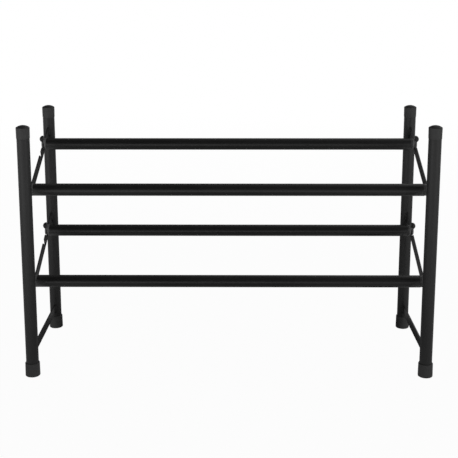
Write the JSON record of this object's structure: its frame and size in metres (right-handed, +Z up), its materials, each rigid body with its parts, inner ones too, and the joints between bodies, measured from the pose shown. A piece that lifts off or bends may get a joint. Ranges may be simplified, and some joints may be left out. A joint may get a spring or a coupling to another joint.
{
  "type": "expandable shoe rack",
  "caption": "Low free-standing rack with two sloping tiers of telescopic round rails between two tube end frames, which pull apart to make it wider.",
  "frame": {"origin": "on the floor, below the middle of the closed rack", "axes": "+X to the right, the way the right frame pulls out; +Y to the back, the higher side of the tiers; +Z up"},
  "size_m": [0.6308, 0.2278, 0.3931],
  "materials": {
    "powder_coat": "satin black powder coat with a fine grain",
    "rail_coat": "smooth satin black coat on rolled tube",
    "cap_plastic": "matt black moulded plastic",
    "fitting_plastic": "matt dark grey moulded plastic, its round heads near black"
  },
  "bodies": {
    "left_frame": {"left_front_post": "powder_coat", "left_front_cap": "cap_plastic", "left_front_foot": "cap_plastic", "left_back_post": "powder_coat", "left_back_cap": "cap_plastic", "left_back_foot": "cap_plastic", "left_upper_strip": "powder_coat", "left_lower_strip": "powder_coat", "left_bottom_strip": "powder_coat", "upper_front_outer_rail": "rail_coat", "upper_front_left_plug": "fitting_plastic", "upper_front_guide_bush": "fitting_plastic", "upper_back_outer_rail": "rail_coat", "upper_back_left_plug": "fitting_plastic", "upper_back_guide_bush": "fitting_plastic", "lower_front_outer_rail": "rail_coat", "lower_front_left_plug": "fitting_plastic", "lower_front_guide_bush": "fitting_plastic", "lower_back_outer_rail": "rail_coat", "lower_back_left_plug": "fitting_plastic", "lower_back_guide_bush": "fitting_plastic"},
    "right_frame": {"right_front_post": "powder_coat", "right_front_cap": "cap_plastic", "right_front_foot": "cap_plastic", "right_back_post": "powder_coat", "right_back_cap": "cap_plastic", "right_back_foot": "cap_plastic", "right_upper_strip": "powder_coat", "right_lower_strip": "powder_coat", "right_bottom_strip": "powder_coat", "upper_front_inner_rail": "rail_coat", "upper_front_right_plug": "fitting_plastic", "upper_front_glide": "fitting_plastic", "upper_back_inner_rail": "rail_coat", "upper_back_right_plug": "fitting_plastic", "upper_back_glide": "fitting_plastic", "lower_front_inner_rail": "rail_coat", "lower_front_right_plug": "fitting_plastic", "lower_front_glide": "fitting_plastic", "lower_back_inner_rail": "rail_coat", "lower_back_right_plug": "fitting_plastic", "lower_back_glide": "fitting_plastic"}
  },
  "joints": [
    {"name": "extend", "type": "slide", "parent": "left_frame", "child": "right_frame", "axis": [1, 0, 0], "range_m": [0, 0.54]}
  ]
}
